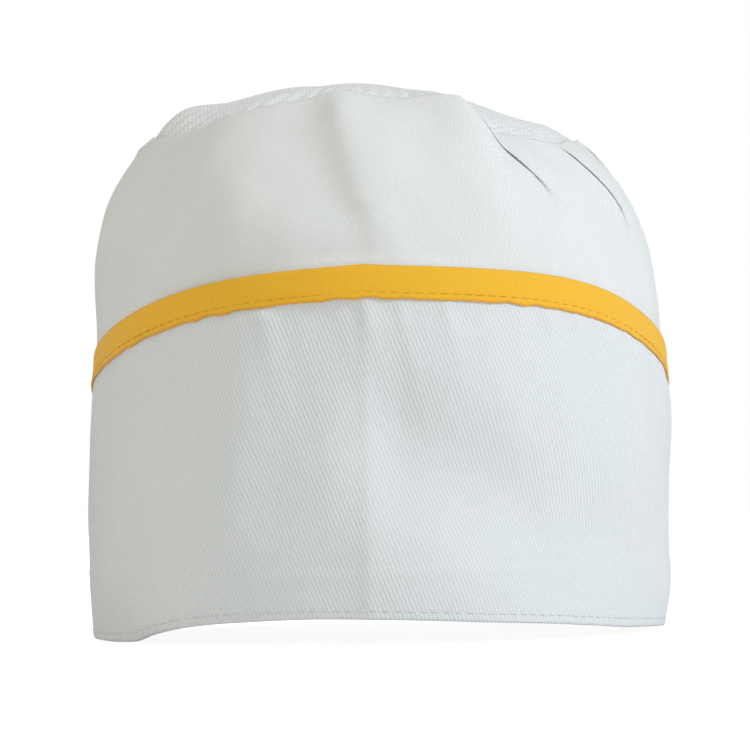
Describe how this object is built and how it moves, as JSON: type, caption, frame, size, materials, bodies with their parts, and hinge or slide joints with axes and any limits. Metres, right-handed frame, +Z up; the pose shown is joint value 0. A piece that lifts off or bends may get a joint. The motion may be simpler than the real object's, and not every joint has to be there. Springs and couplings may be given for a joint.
{
  "type": "chef skull cap",
  "caption": "Soft round chef's cap with a tall stiffened band, coloured trim tape, gathered crown, net top and an adjustable strap at the back.",
  "frame": {"origin": "middle of the plane that the hem stands on, under the cap's bounding box", "axes": "+Z up, out of the crown; -Y out of the brow, +Y out of the back opening; +X to the right of someone looking at the brow"},
  "size_m": [0.1768, 0.2001, 0.1648],
  "materials": {
    "white_twill": "matte",
    "stiffener": "matte",
    "white_lining": "matte",
    "towelling": "matte",
    "yellow_tape": "matte",
    "white_net": "matte",
    "white_binding": "matte",
    "loop_pile": "matte",
    "hook_plastic": "satin",
    "label_satin": "satin",
    "white_thread": "satin",
    "yellow_thread": "satin"
  },
  "bodies": {
    "cap": {"band_outer": "white_twill", "band_stiffener": "stiffener", "band_lining": "white_lining", "sweatband": "towelling", "trim_tape": "yellow_tape", "crown_wall": "white_twill", "net_top": "white_net", "crown_seam_binding": "white_binding", "vent_binding": "white_binding", "loop_patch": "loop_pile", "strap_anchor": "white_twill", "care_label": "label_satin", "hem_stitching": "white_thread", "trim_stitching": "yellow_thread", "vent_stitching": "white_thread", "loop_patch_stitching": "white_thread", "anchor_stitching": "white_thread"},
    "strap": {"strap": "white_twill", "hook_patch": "hook_plastic", "strap_stitching": "white_thread"}
  },
  "joints": [
    {"name": "strap_peel", "type": "hinge", "parent": "cap", "child": "strap", "pos_m": [0.02583, 0.0938, 0.026], "axis": [0, 0, -1], "range_deg": [0, 110]}
  ]
}
